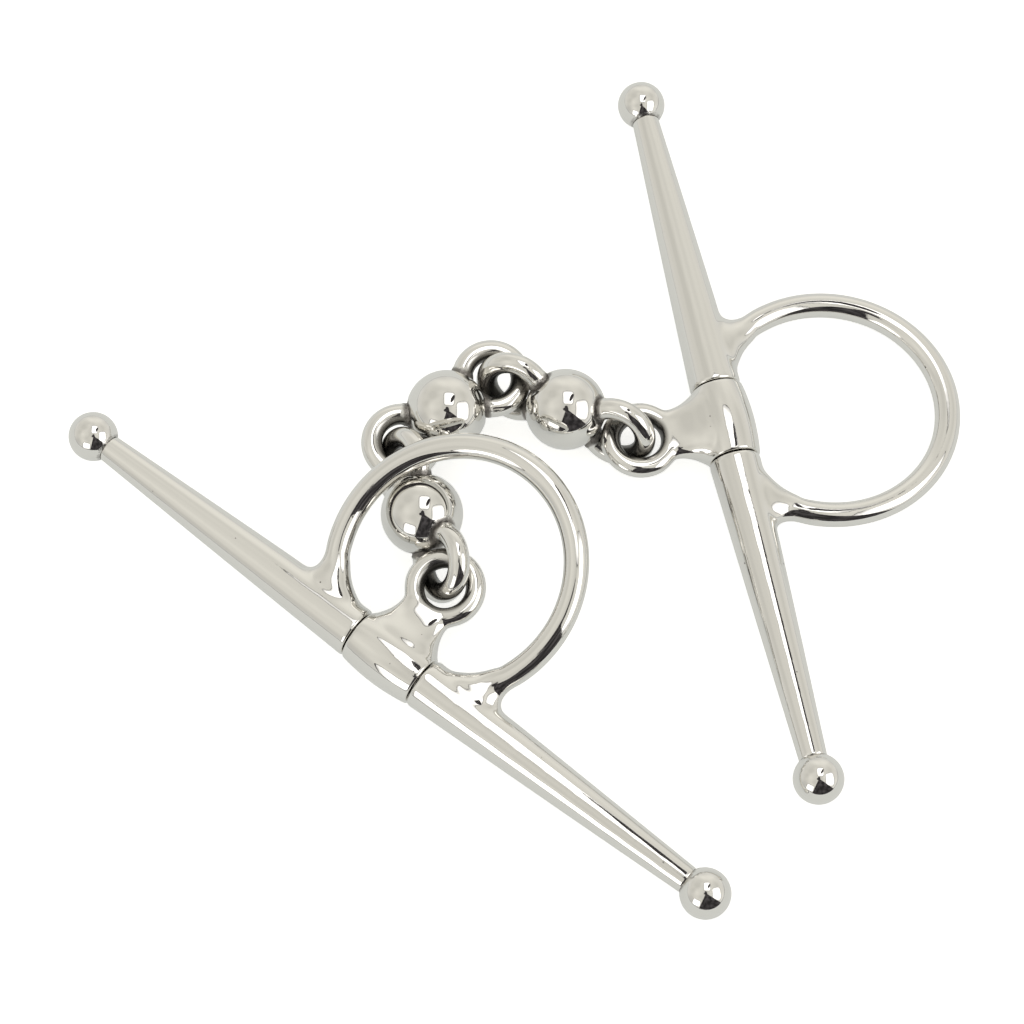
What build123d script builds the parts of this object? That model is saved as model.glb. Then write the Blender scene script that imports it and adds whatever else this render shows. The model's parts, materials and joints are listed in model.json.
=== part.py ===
from build123d import *
import os
from math import acos, asin, cos, degrees, radians, sin, sqrt

# A full-cheek snaffle bit with a ball-link chain mouthpiece, laid down folded on a flat surface.
# Lengths are in millimetres and angles in degrees. +Z is up, and the surface is the plane Z = 0.

# Cheek: two tapered arms with a ball at each tip, and a ring for the rein and the cheekpiece
ARM_LENGTH = 79.3            # middle of the sleeve to the centre of a tip ball
ARM_ROOT_DIA = 10.9          # at the sleeve
ARM_TIP_DIA = 5.8            # where it enters the tip ball
ARM_EDGE_ROUND = 0.35        # round on the root's rim, beside the slit
TIP_BALL_DIA = 10.3
TIP_BALL_SOCKET = 1.5        # depth of the arm's end in the ball
RING_REACH = 22.4            # arm's centre line to the ring's centre
RING_HALF_DEPTH = 25.5       # ring's centre line, away from the arm
RING_HALF_HEIGHT = 24.5      # ring's centre line, along the arm
RING_WIRE_DIA = 5.4
RING_ROOT_FILLET = 3.0       # blend of the ring into the arms
RING_END_DEPTH = 1.5         # distance of the ring bar's ends from the arm's centre line

# Spindle that joins the two arms through the sleeve
SPINDLE_DIA = 5.0
SPINDLE_SOCKET = 9.0         # depth of its ends in the arms
SPINDLE_CLEARANCE = 0.05     # running fit in the sleeve, on the radius
SLIT = 0.25                  # gap between the sleeve and each arm

# Sleeve: a barrel on the spindle, with a waisted neck and an eye
SLEEVE_LENGTH = 16.4
SLEEVE_END_DIA = 11.1
SLEEVE_DIA = 12.5            # at the middle of the barrel
NECK_REACH = 18.2            # spindle to the eye's centre
NECK_ROOT_WIDTH = 15.6       # along the spindle, at the barrel
NECK_WAIST_WIDTH = 10.6      # where the neck runs into the eye's wire
NECK_ROOT_THICKNESS = 9.6
NECK_WAIST_THICKNESS = 3.7
SLEEVE_EYE_HOLE_DIA = 8.4
SLEEVE_EYE_WIRE_DIA = 4.2

# Mouthpiece links: a ball with an eye at each end, both eyes in one plane
LINK_BALL_DIA = 17.0
LINK_EYE_HOLE_DIA = 8.0
LINK_EYE_WIRE_DIA = 4.4
LINK_EYE_SEAT = 0.7          # how far the edge of the hole is sunk below the ball's surface
HOOK_GAP = 0.15              # between the wires of two linked eyes, where they cross
LEAST_GAP = 0.05             # between a link and the one before it, anywhere

# Resting pose. A heading is measured from +X towards +Y. A pitch lifts the front of a piece.
# A roll lifts the left side of a link, seen from behind, and the neck's side of a sleeve.
LEFT_HEADING = 142.2         # of the upper arm
LEFT_RING_GAP = 0.066        # between the propped ring and the link under it
LEFT_NECK_ROLL = 7.8
RIGHT_HEADING = 101.8
RIGHT_NECK_ROLL = 1.2
LINK_POSES = [               # heading, pitch, roll, from the left cheek to the right one
    (110.3, -5.0, -56.5),
    (37.4, 2.1, 7.8),
    (-24.8, -3.1, 66.7),
]
# Linked eyes, in the same order: where the wires are nearest, as an angle round each eye from the
# end of its piece, and the side of the first wire that the second one passes on.
HOOKS = [
    (86.7, 96.7, 1),
    (13.8, 28.6, -1),
    (-80.4, -112.1, -1),
    (-115.2, 15.5, 1),
]

UP = Vector(0, 0, 1)
ROOT_Y = SLEEVE_LENGTH / 2 + SLIT
TIP_ENTRY = sqrt((TIP_BALL_DIA / 2) ** 2 - (ARM_TIP_DIA / 2) ** 2)
ARM_END_Y = ARM_LENGTH - TIP_ENTRY + TIP_BALL_SOCKET
LINK_EYE_RADIUS = (LINK_EYE_HOLE_DIA + LINK_EYE_WIRE_DIA) / 2
SLEEVE_EYE_RADIUS = (SLEEVE_EYE_HOLE_DIA + SLEEVE_EYE_WIRE_DIA) / 2
LINK_EYE_OFFSET = LINK_BALL_DIA / 2 - LINK_EYE_SEAT + LINK_EYE_HOLE_DIA / 2


def heading_vector(heading, pitch):
    """Unit vector with the given heading and pitch."""
    h, p = radians(heading), radians(pitch)
    return Vector(cos(h) * cos(p), sin(h) * cos(p), sin(p))


def lifted(direction, level, roll):
    """The level direction turned about another one, so that it rises by the roll."""
    rise = (UP - direction * UP.dot(direction)).normalized()
    return level * cos(radians(roll)) + rise * sin(radians(roll))


# Pieces of a cheek: +Y along the upper arm, +X towards the ring, origin in the middle of the sleeve

def arm_body():
    """The upper arm as a full tapered rod, without its socket."""
    outline = Polyline(
        (0, ROOT_Y), (ARM_ROOT_DIA / 2, ROOT_Y), (ARM_TIP_DIA / 2, ARM_END_Y), (0, ARM_END_Y),
        close=True,
    )
    rod = revolve(make_face(outline), Axis.Y)
    rim = rod.edges().filter_by(GeomType.CIRCLE).sort_by(Axis.Y)[0]
    return fillet(rim, ARM_EDGE_ROUND)


def spindle():
    """Plain pin, its ends held in the two arms."""
    return Rot(90, 0, 0) * Cylinder(SPINDLE_DIA / 2, 2 * (ROOT_Y + SPINDLE_SOCKET))


def upper_arm():
    return arm_body() - spindle()


def upper_ball():
    return Pos(0, ARM_LENGTH, 0) * Sphere(TIP_BALL_DIA / 2) - arm_body()


def turned_over(piece):
    """The lower twin of an upper piece."""
    return mirror(piece, about=Plane.XZ)


def ring_line():
    """Centre line of the ring's bar."""
    end_angle = degrees(acos((RING_END_DEPTH - RING_REACH) / RING_HALF_DEPTH))
    return EllipticalCenterArc(
        (RING_REACH, 0), RING_HALF_DEPTH, RING_HALF_HEIGHT,
        start_angle=-end_angle, arc_size=2 * end_angle,
    )


def ring():
    """Oval loop of round bar, blended into both arms and ending on their surfaces."""
    path = ring_line()
    bar = sweep(Plane(path @ 0, z_dir=path % 0) * Circle(RING_WIRE_DIA / 2), path=path)
    arms = [arm_body(), turned_over(arm_body())]
    whole = bar + arms[0] + arms[1]
    seams = [
        edge for edge in whole.edges()
        if edge.geom_type not in (GeomType.LINE, GeomType.CIRCLE) and edge.center().X > 0
        and abs(edge.center().Y) < RING_HALF_HEIGHT and edge.length > RING_WIRE_DIA
    ]
    return fillet(seams, RING_ROOT_FILLET) - arms[0] - arms[1]


# Sleeve: +Y along the spindle, +X towards the eye, origin in the middle of the barrel

def sleeve():
    """Barrel, neck and eye, with the spindle's bore."""
    half = SLEEVE_LENGTH / 2
    belly = ThreePointArc(
        (SLEEVE_END_DIA / 2, -half), (SLEEVE_DIA / 2, 0), (SLEEVE_END_DIA / 2, half)
    )
    ends = Polyline((SLEEVE_END_DIA / 2, half), (0, half), (0, -half), (SLEEVE_END_DIA / 2, -half))
    barrel = revolve(make_face([belly, ends]), Axis.Y)
    waist_x = NECK_REACH - SLEEVE_EYE_RADIUS
    root_x = 0.62 * SLEEVE_END_DIA / 2
    sections = [
        (root_x, NECK_ROOT_WIDTH, NECK_ROOT_THICKNESS),
        ((root_x + waist_x) / 2, 0.38 * NECK_ROOT_WIDTH + 0.62 * NECK_WAIST_WIDTH,
         (NECK_ROOT_THICKNESS + NECK_WAIST_THICKNESS) / 2),
        (waist_x, NECK_WAIST_WIDTH, NECK_WAIST_THICKNESS),
    ]
    neck = loft([
        Plane((x, 0, 0), x_dir=(0, 1, 0), z_dir=(1, 0, 0)) * Ellipse(width / 2, thickness / 2)
        for x, width, thickness in sections
    ])
    eye = Pos(NECK_REACH, 0, 0) * Torus(SLEEVE_EYE_RADIUS, SLEEVE_EYE_WIRE_DIA / 2)
    bore = Rot(90, 0, 0) * Cylinder(SPINDLE_DIA / 2 + SPINDLE_CLEARANCE, 2 * SLEEVE_LENGTH)
    return barrel + neck + eye - bore


# Link: +X along the link, both eyes in the XY plane, origin in the middle of the ball

def link_ball():
    return Sphere(LINK_BALL_DIA / 2)


def link_eye(end):
    """Eye at the +X or -X end, cut off at the ball's surface."""
    loop = Torus(LINK_EYE_RADIUS, LINK_EYE_WIRE_DIA / 2)
    return Pos(end * LINK_EYE_OFFSET, 0, 0) * loop - link_ball()


# Layout: where each piece lies

class Eye:
    """An eye in place: centre, direction of its outer end, side direction and radius."""

    def __init__(self, centre, out, side, radius, wire_dia):
        self.centre, self.out, self.side = centre, out, side
        self.radius, self.wire_dia = radius, wire_dia

    def offset(self, angle):
        a = radians(angle)
        return (self.out * cos(a) + self.side * sin(a)) * self.radius

    def tangent(self, angle):
        a = radians(angle)
        return self.side * cos(a) - self.out * sin(a)


def hooked_centre(first, second, hook):
    """Centre of the second eye, hooked through the first one as the entry of HOOKS says."""
    first_angle, second_angle, passing_side = hook
    apart = first.tangent(first_angle).cross(second.tangent(second_angle)).normalized()
    distance = (first.wire_dia + second.wire_dia) / 2 + HOOK_GAP
    nearest = first.centre + first.offset(first_angle) + apart * (passing_side * distance)
    return nearest - second.offset(second_angle)


def sleeve_eye(centre, neck, spindle_line):
    return Eye(centre, neck, spindle_line, SLEEVE_EYE_RADIUS, SLEEVE_EYE_WIRE_DIA)


# A piece in outline is a list of (centre line or centre, radius), for its round bars and balls.

def eye_outline(eye):
    plane = Plane(eye.centre, x_dir=eye.out, z_dir=eye.out.cross(eye.side))
    return plane * Edge.make_circle(eye.radius), eye.wire_dia / 2


def link_outline(back, middle, front):
    return [eye_outline(back), (Vertex(*middle), LINK_BALL_DIA / 2), eye_outline(front)]


def sleeve_outline(eye):
    centre = eye.centre - eye.out * NECK_REACH
    reach = eye.side * (SLEEVE_LENGTH / 2)
    return [eye_outline(eye), (Edge.make_line(centre - reach, centre + reach), SLEEVE_DIA / 2)]


def way_clear(moving, standing):
    """Shift that takes one outline clear of another, along the line where they are closest."""
    shift = Vector(0, 0, 0)
    for _ in range(80):
        worst, push = 0, None
        for line, radius in moving:
            moved = Pos(*shift) * line
            for other, other_radius in standing:
                distance, point, other_point = moved.distance_to_with_closest_points(other)
                short = radius + other_radius + LEAST_GAP - distance
                if short > worst:
                    worst, push = short, (point - other_point).normalized() * (short + 0.01)
        if push is None:
            break
        shift += push
    return shift


def propped_roll(centre, arm, level, link):
    """Roll at which a cheek's ring comes down to its gap above a link."""
    def gap(roll):
        x_dir = lifted(arm, level, roll)
        line = Plane(centre, x_dir=x_dir, z_dir=x_dir.cross(arm)) * ring_line()
        return min(line.distance_to(other) - radius for other, radius in link) - RING_WIRE_DIA / 2

    above, below = 60, 59
    while below > -20 and gap(below) > LEFT_RING_GAP:
        above, below = below, below - 1
    for _ in range(20):
        middle = (above + below) / 2
        if gap(middle) > LEFT_RING_GAP:
            above = middle
        else:
            below = middle
    return above


def lay_out():
    """Planes of the cheeks, sleeves and links, and the joint axes, by name.

    A link swings about the middle of the neighbouring eye that lies flat, so the gap between the
    two wires stays the same all the way.
    """
    # Each cheek lies on its sleeve's belly and on one of its tip balls.
    arm_pitch = degrees(asin((SLEEVE_DIA - TIP_BALL_DIA) / 2 / ARM_LENGTH))
    left_arm = heading_vector(LEFT_HEADING, arm_pitch)
    left_level = left_arm.cross(UP).normalized()
    left_neck = lifted(left_arm, left_level, LEFT_NECK_ROLL)
    left_centre = Vector(0, 0, SLEEVE_DIA / 2)
    places = {"left_sleeve": Plane(left_centre, x_dir=left_neck, z_dir=left_neck.cross(left_arm))}
    # A positive swivel lifts the ring, and a positive swing unfolds the mouthpiece.
    axes = {"left_cheek_swivel": (left_centre, -left_arm)}
    eye = sleeve_eye(left_centre + left_neck * NECK_REACH, left_neck, left_arm)
    axes["left_sleeve_swing"] = (eye.centre, left_neck.cross(left_arm))
    before = sleeve_outline(eye)
    for number, (heading, pitch, roll) in enumerate(LINK_POSES, start=1):
        along = heading_vector(heading, pitch)
        side = lifted(along, UP.cross(along).normalized(), roll)
        back = Eye(Vector(0, 0, 0), -along, side, LINK_EYE_RADIUS, LINK_EYE_WIRE_DIA)
        back.centre = hooked_centre(eye, back, HOOKS[number - 1])
        middle = back.centre + along * LINK_EYE_OFFSET
        front = Eye(middle + along * LINK_EYE_OFFSET, along, side, LINK_EYE_RADIUS,
                    LINK_EYE_WIRE_DIA)
        shift = way_clear(link_outline(back, middle, front), before)
        back.centre, middle, front.centre = (p + shift for p in (back.centre, middle, front.centre))
        eye, before = front, link_outline(back, middle, front)
        places[f"link_{number}"] = Plane(middle, x_dir=along, z_dir=along.cross(side))
        if number == 2:
            axes["link_1_swing"] = (back.centre, side.cross(along))
            axes["link_3_swing"] = (front.centre, along.cross(side))
        if number == 1:
            roll = propped_roll(left_centre, left_arm, left_level, before)
            left_ring = lifted(left_arm, left_level, roll)
            places["left_cheek"] = Plane(
                left_centre, x_dir=left_ring, z_dir=left_ring.cross(left_arm)
            )
    right_arm = heading_vector(RIGHT_HEADING, -arm_pitch)
    right_level = right_arm.cross(UP).normalized()
    right_neck = lifted(right_arm, -right_level, RIGHT_NECK_ROLL)
    last = sleeve_eye(Vector(0, 0, 0), right_neck, right_arm)
    last.centre = hooked_centre(eye, last, HOOKS[-1])
    last.centre += way_clear(sleeve_outline(last), before)
    axes["right_sleeve_swing"] = (last.centre, right_neck.cross(right_arm))
    right_centre = last.centre - right_neck * NECK_REACH
    # The right ring falls until its far side meets the surface.
    fall = degrees(asin((right_centre.Z - RING_WIRE_DIA / 2) / (RING_REACH + RING_HALF_DEPTH)))
    right_ring = lifted(right_arm, right_level, -fall)
    places["right_sleeve"] = Plane(
        right_centre, x_dir=right_neck, z_dir=right_neck.cross(right_arm)
    )
    places["right_cheek"] = Plane(
        right_centre, x_dir=right_ring, z_dir=right_ring.cross(right_arm)
    )
    axes["right_cheek_swivel"] = (right_centre, -right_arm)
    return places, axes


def build():
    """All pieces in place, by node name, and the joint axes, with the origin below the middle."""
    places, axes = lay_out()
    cheek_pieces = {
        "cheek_ring": ring(),
        "upper_arm": upper_arm(),
        "lower_arm": turned_over(upper_arm()),
        "upper_ball": upper_ball(),
        "lower_ball": turned_over(upper_ball()),
        "spindle": spindle(),
    }
    link_pieces = {"ball": link_ball(), "back_eye": link_eye(-1), "front_eye": link_eye(1)}
    nodes = {}
    for hand in ("left", "right"):
        for name, piece in cheek_pieces.items():
            nodes[f"{hand}_{name}"] = places[f"{hand}_cheek"].location * piece
        nodes[f"{hand}_sleeve"] = places[f"{hand}_sleeve"].location * sleeve()
    for number in range(1, len(LINK_POSES) + 1):
        for name, piece in link_pieces.items():
            nodes[f"link_{number}_{name}"] = places[f"link_{number}"].location * piece
    box = Compound(list(nodes.values())).bounding_box()
    shift = Vector(-box.center().X, -box.center().Y, -box.min.Z)
    nodes = {name: Pos(*shift) * piece for name, piece in nodes.items()}
    axes = {name: (point + shift, direction) for name, (point, direction) in axes.items()}
    return nodes, axes


if __name__ == "__main__":
    os.makedirs("parts", exist_ok=True)
    pieces, joint_axes = build()
    for node, piece in pieces.items():
        export_step(piece, f"parts/{node}.step")
        print(f"{node}: {len(piece.solids())} solid, {piece.volume:.1f} mm3")
    for joint, (point, direction) in joint_axes.items():
        print(f"{joint}: axis through {tuple(point)} along {tuple(direction)}")
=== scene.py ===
# %% [markdown]
# # A full-cheek snaffle with a ball-link chain mouthpiece
# A full-cheek snaffle is a horse's bit with a long arm above and below each corner of the mouth. The
# arms stop the bit from being pulled through, and the big rings take the rein and the bridle's
# cheekpiece. Its mouthpiece is a short chain: three steel balls, each with an eye welded on both
# sides. All of it is stainless steel, ground, welded and then polished by hand on a buffing wheel.
#
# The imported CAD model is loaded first. It fixes where every piece is and how it moves, and the rest
# of this lesson gives each piece the softer shape and the finish that the real one has.

# %% Load the frame
import json
import math

import bmesh
import bpy
import numpy as np
from mathutils import Matrix, Vector


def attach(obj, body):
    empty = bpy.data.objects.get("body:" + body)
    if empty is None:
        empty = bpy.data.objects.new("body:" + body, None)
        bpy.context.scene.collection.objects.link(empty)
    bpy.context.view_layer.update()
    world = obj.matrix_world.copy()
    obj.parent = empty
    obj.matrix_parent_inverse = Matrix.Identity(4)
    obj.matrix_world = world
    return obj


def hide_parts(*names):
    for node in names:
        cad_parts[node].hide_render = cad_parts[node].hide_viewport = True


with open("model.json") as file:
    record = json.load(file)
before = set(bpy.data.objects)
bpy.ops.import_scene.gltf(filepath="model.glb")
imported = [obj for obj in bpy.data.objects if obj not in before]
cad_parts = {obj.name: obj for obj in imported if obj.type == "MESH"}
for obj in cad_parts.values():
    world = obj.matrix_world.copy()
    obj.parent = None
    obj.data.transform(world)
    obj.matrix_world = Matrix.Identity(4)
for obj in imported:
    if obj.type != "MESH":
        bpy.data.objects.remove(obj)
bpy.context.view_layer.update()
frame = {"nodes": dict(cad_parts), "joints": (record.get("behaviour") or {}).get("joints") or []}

# %% [markdown]
# ## Where each piece lies
# Every piece is modelled in its own upright frame, in millimetres, which is the unit that a bit
# maker works in, and then laid down where the CAD has it. That is easier than modelling in a tilted
# place, because a cheek's arms then run straight along Y and a link runs straight along X.
#
# The places come from the joints and from the CAD meshes. A hinge gives a point and a direction. A
# node's centre of area gives another point, and the direction in which an eye is thinnest is the
# direction that its hole faces.

# %% Points and directions of the CAD
MM = 0.001


def hinge(name):
    """A joint's point and the unit direction of its axis."""
    found = next(j for j in frame["joints"] if j["name"] == name)
    return Vector(found["pos_m"]), Vector(found["axis"]).normalized()


def spread(node):
    """A node's centre of area, and its directions from the thinnest to the widest."""
    mesh = frame["nodes"][node].data
    corners = np.array([mesh.vertices[i].co for t in mesh.polygons for i in t.vertices])
    corners = corners.reshape(-1, 3, 3)
    area = np.linalg.norm(
        np.cross(corners[:, 1] - corners[:, 0], corners[:, 2] - corners[:, 0]), axis=1
    )
    middles = corners.mean(axis=1)
    centre = (middles * area[:, None]).sum(axis=0) / area.sum()
    away = middles - centre
    _, directions = np.linalg.eigh((away * area[:, None]).T @ away)
    return Vector(centre), [Vector(d) for d in directions.T]


def placed(origin, along_x, along_y):
    """Matrix that lays a piece modelled in millimetres down at the origin, in metres."""
    x = along_x.normalized()
    y = (along_y - x * along_y.dot(x)).normalized()
    turn = Matrix((x, y, x.cross(y))).transposed().to_4x4()
    return Matrix.Translation(origin) @ turn @ Matrix.Scale(MM, 4)


# %% Places of the cheeks, sleeves and links
place = {}
for hand in ("left", "right"):
    centre, down_arm = hinge(f"{hand}_cheek_swivel")
    eye_centre, _ = hinge(f"{hand}_sleeve_swing")
    ring_middle, _ = spread(f"{hand}_cheek_ring")
    arm = -down_arm
    to_ring = ring_middle - centre
    to_ring -= arm * to_ring.dot(arm)
    place[f"{hand}_cheek"] = placed(centre, to_ring, arm)
    place[f"{hand}_sleeve"] = placed(centre, eye_centre - centre, arm)
for number in (1, 2, 3):
    ball_middle, _ = spread(f"link_{number}_ball")
    back, facing = spread(f"link_{number}_back_eye")
    front, _ = spread(f"link_{number}_front_eye")
    along = front - back
    place[f"link_{number}"] = placed(ball_middle, along, facing[0].cross(along))
print("places:", {name: [round(v, 4) for v in m.translation] for name, m in place.items()})

# %% [markdown]
# ## Helpers for working by hand in code
# In the window, a modeller adds a primitive, goes into edit mode, picks a few faces and extrudes or
# scales them. The helpers below do those same steps. `begin` clears the selection, `pick` selects
# by place instead of by mouse, and `apply_all` turns the waiting modifiers into mesh.

# %% Selecting and applying
def begin():
    """Leaves edit mode and deselects everything."""
    if bpy.context.object and bpy.context.object.mode != "OBJECT":
        bpy.ops.object.mode_set(mode="OBJECT")
    bpy.ops.object.select_all(action="DESELECT")


def only(piece):
    begin()
    piece.select_set(True)
    bpy.context.view_layer.objects.active = piece


def pick(kind, test):
    """In edit mode, selects just the verts, edges or faces whose middle passes the test."""
    bpy.ops.mesh.select_mode(type={"verts": "VERT", "edges": "EDGE", "faces": "FACE"}[kind])
    bpy.ops.mesh.select_all(action="DESELECT")
    mesh = bmesh.from_edit_mesh(bpy.context.object.data)
    count = 0
    for part in getattr(mesh, kind):
        if kind == "verts":
            middle = part.co
        elif kind == "edges":
            middle = (part.verts[0].co + part.verts[1].co) / 2
        else:
            middle = part.calc_center_median()
        if test(middle):
            part.select_set(True)
            count += 1
    mesh.select_flush_mode()
    bmesh.update_edit_mesh(bpy.context.object.data)
    return count


def apply_all(piece):
    only(piece)
    for modifier in list(piece.modifiers):
        bpy.ops.object.modifier_apply(modifier=modifier.name)


def joined(name, pieces):
    """Joins the pieces into one object."""
    begin()
    for piece in pieces:
        piece.select_set(True)
    bpy.context.view_layer.objects.active = pieces[0]
    bpy.ops.object.join()
    pieces[0].name = name
    return pieces[0]


# %% A rod grown section by section
def grown(sections, sides=96, squareness=2.0):
    """A closed rod along +X through (x, middle y, half width, half thickness) sections.

    A disc is extruded, moved and scaled again and again. A squareness of 2 keeps the disc round,
    and more makes its sides flatter.
    """
    begin()
    x, y, wide, thick = sections[0]
    bpy.ops.mesh.primitive_circle_add(
        vertices=sides, radius=1, fill_type="NGON", rotation=(0, math.pi / 2, 0)
    )
    rod = bpy.context.object
    bpy.ops.object.transform_apply(location=True, rotation=True, scale=True)
    for vertex in rod.data.vertices:
        around = abs(vertex.co.y) ** squareness + abs(vertex.co.z) ** squareness
        vertex.co *= around ** (-1 / squareness)
    bpy.ops.object.mode_set(mode="EDIT")
    bpy.ops.mesh.select_all(action="SELECT")
    bpy.ops.transform.translate(value=(x, y, 0))
    bpy.ops.transform.resize(value=(1, wide, thick), center_override=(x, y, 0))
    for x_next, y_next, wide_next, thick_next in sections[1:]:
        bpy.ops.mesh.extrude_region_move(
            TRANSFORM_OT_translate={"value": (x_next - x, y_next - y, 0)}
        )
        bpy.ops.transform.resize(
            value=(1, wide_next / wide, thick_next / thick), center_override=(x_next, y_next, 0)
        )
        x, y, wide, thick = x_next, y_next, wide_next, thick_next
    bpy.ops.mesh.select_all(action="SELECT")
    bpy.ops.mesh.normals_make_consistent(inside=False)
    bpy.ops.object.mode_set(mode="OBJECT")
    return rod


def turned(piece, angle, axis="Z"):
    """Turns a piece about the origin, in its mesh."""
    piece.data.transform(Matrix.Rotation(math.radians(angle), 4, axis))
    return piece


# %% [markdown]
# ## Welded and dressed steel
# The ring of a cheek is welded to both arms, and then the weld is ground and polished until the
# steel flows from the ring into the arms. A boolean union would leave a sharp line there, and a
# bevel on such a line often tears. Voxel remeshing is the better tool: overlapping closed shells
# become one skin of small even squares, like clay pressed together. A few rounds of smoothing then
# take out the voxels' own pattern, and many more rounds, near the weld only, dress the fillet.

# %% Fuse overlapping shells into one skin
def fuse(piece, voxel, rounds):
    """Remeshes a joined piece into one skin and smooths it all over."""
    remesh = piece.modifiers.new("skin", "REMESH")
    remesh.mode = "VOXEL"
    remesh.voxel_size = voxel
    remesh.use_smooth_shade = True
    smooth = piece.modifiers.new("even out", "SMOOTH")
    smooth.factor = 0.5
    smooth.iterations = rounds
    apply_all(piece)
    print(piece.name, "skin:", len(piece.data.vertices), "points")


WEIGHT_STEPS = 20         # a vertex group's weights are rounded to this many steps


def paint(piece, name, weight, frame_of_piece=Matrix()):
    """Keeps weight(point), from 0 to 1, as a float attribute, which a material can read."""
    values = [min(1.0, max(0.0, weight(frame_of_piece @ v.co))) for v in piece.data.vertices]
    attribute = piece.data.attributes.get(name) or piece.data.attributes.new(
        name, "FLOAT", "POINT"
    )
    attribute.data.foreach_set("value", values)
    return values


def mark(piece, name, weight):
    """Paints weight(point) as a float attribute and keeps it as a vertex group too."""
    values = paint(piece, name, weight)
    group = piece.vertex_groups.get(name) or piece.vertex_groups.new(name=name)
    for step in range(1, WEIGHT_STEPS + 1):
        level = step / WEIGHT_STEPS
        near = [i for i, value in enumerate(values) if abs(value - level) <= 0.5 / WEIGHT_STEPS]
        if near:
            group.add(near, level, "REPLACE")
    return values


def dress(piece, group, rounds):
    """Smooths only where the vertex group is, as a grinder dresses a weld."""
    smooth = piece.modifiers.new("dress", "SMOOTH")
    smooth.factor = 0.5
    smooth.iterations = rounds
    smooth.vertex_group = group
    apply_all(piece)


def ease(value, start, end):
    """0 at start and 1 at end, with a soft ramp between."""
    t = min(1.0, max(0.0, (value - start) / (end - start)))
    return t * t * (3 - 2 * t)


# %% [markdown]
# ## The cheeks
# A cheek is two tapered arms, turned from bar, with a ring of round bar welded to both. The arms
# don't meet: the sleeve sits between them, and a hidden pin joins them through it. Seen from above,
# the ring's ends widen where they run into the arms, more on the side of the sleeve.
#
# The arms are grown from a disc. The ring starts as a torus, stretched a little into an oval, and
# its part beside the sleeve is cut away by a bisect. The weld metal at each root is a rod of its
# own, grown from the arm out along the ring, wide at the arm and as thick as the wire at its end.

# %% Sizes of a cheek, in millimetres
ARM_LENGTH = 79.3
ARM_ROOT_DIA = 10.9
ARM_TIP_DIA = 5.8
ARM_RIM_ROUND = 0.45
ARM_BELLY = 0.06          # how much an arm bulges beyond a straight taper, at half length
TIP_BALL_DIA = 10.3
SLEEVE_LENGTH = 16.4
SLIT = 0.25
RING_REACH = 22.4
RING_HALF_DEPTH = 25.5
RING_HALF_HEIGHT = 24.5
RING_WIRE_DIA = 5.4
RING_CUT = 1.0            # the ring's ends, from the arms' centre line
ROOT_SECTIONS = [         # x, edge beside the sleeve, edge beside the tip, half thickness
    (1.5, 9.6, 26.0, 3.6), (4.2, 10.2, 25.4, 3.9), (5.2, 11.5, 24.7, 3.75),
    (6.0, 13.0, 24.0, 3.45), (7.0, 14.7, 23.7, 3.1), (8.2, 16.2, 23.8, 2.85),
    (9.6, 17.5, 24.1, 2.72), (11.2, 18.7, 24.5, 2.62),
]
PIN_DIA = 5.0
PIN_SOCKET = 9.0
CHEEK_VOXEL = 0.285
CHEEK_ROUNDS = 8          # of smoothing all over
CHEEK_WELD_ROUNDS = 100   # of smoothing at the welds only
root_y = SLEEVE_LENGTH / 2 + SLIT
tip_y = ARM_LENGTH - 0.8 * TIP_BALL_DIA / 2


# %% The arms
def cheek_arm():
    """Upper arm, along +Y, with a rounded rim beside the slit."""
    root, tip = ARM_ROOT_DIA / 2, ARM_TIP_DIA / 2
    rim = ARM_RIM_ROUND
    rounded = [
        (root_y + rim * (1 - math.cos(a)), root - rim * (1 - math.sin(a)))
        for a in (math.pi / 2 * k / 4 for k in range(5))
    ]
    sections = [(y, 0, r, r) for y, r in rounded]
    steps = 12
    for k in range(1, steps + 1):
        share = k / steps
        radius = root + (tip - root) * share + ARM_BELLY * math.sin(math.pi * share)
        sections.append((root_y + rim + (tip_y - root_y - rim) * share, 0, radius, radius))
    return turned(grown(sections), 90)


# %% The ring, its cut and the weld metal at its roots
def cheek_ring():
    begin()
    bpy.ops.mesh.primitive_torus_add(
        major_radius=RING_HALF_DEPTH, minor_radius=RING_WIRE_DIA / 2,
        major_segments=240, minor_segments=48, location=(RING_REACH, 0, 0),
    )
    ring = bpy.context.object
    bpy.ops.object.transform_apply(location=True, rotation=True, scale=True)
    bpy.ops.object.mode_set(mode="EDIT")
    bpy.ops.mesh.select_all(action="SELECT")
    bpy.ops.transform.resize(
        value=(1, RING_HALF_HEIGHT / RING_HALF_DEPTH, 1), center_override=(RING_REACH, 0, 0)
    )
    bpy.ops.mesh.bisect(
        plane_co=(RING_CUT, 0, 0), plane_no=(1, 0, 0), clear_inner=True, use_fill=True,
    )
    bpy.ops.object.mode_set(mode="OBJECT")
    return ring


def ring_root():
    return grown([
        (x, (near + far) / 2, (far - near) / 2, thick) for x, near, far, thick in ROOT_SECTIONS
    ])


# %% [markdown]
# The arms, the ring and its roots are joined and fused. The weld's zone is marked by how near a
# point is to the seam between root and arm, and dressed until the fillets are soft. Last, each arm is
# drilled for the pin, so that nothing of it fills the space where the pin is.

# %% Drilling with a boolean
ALONG_Y = (math.pi / 2, 0, 0)


def drill(piece, radius, depth, sides=64, centre=(0, 0, 0), turn=ALONG_Y):
    """Cuts a round hole, along Y unless it is turned another way."""
    begin()
    bpy.ops.mesh.primitive_cylinder_add(
        vertices=sides, radius=radius, depth=depth, location=centre, rotation=turn
    )
    tool = bpy.context.object
    cut = piece.modifiers.new("drill", "BOOLEAN")
    cut.operation = "DIFFERENCE"
    cut.object = tool
    cut.solver = "EXACT"
    apply_all(piece)
    bpy.data.objects.remove(tool, do_unlink=True)


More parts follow.
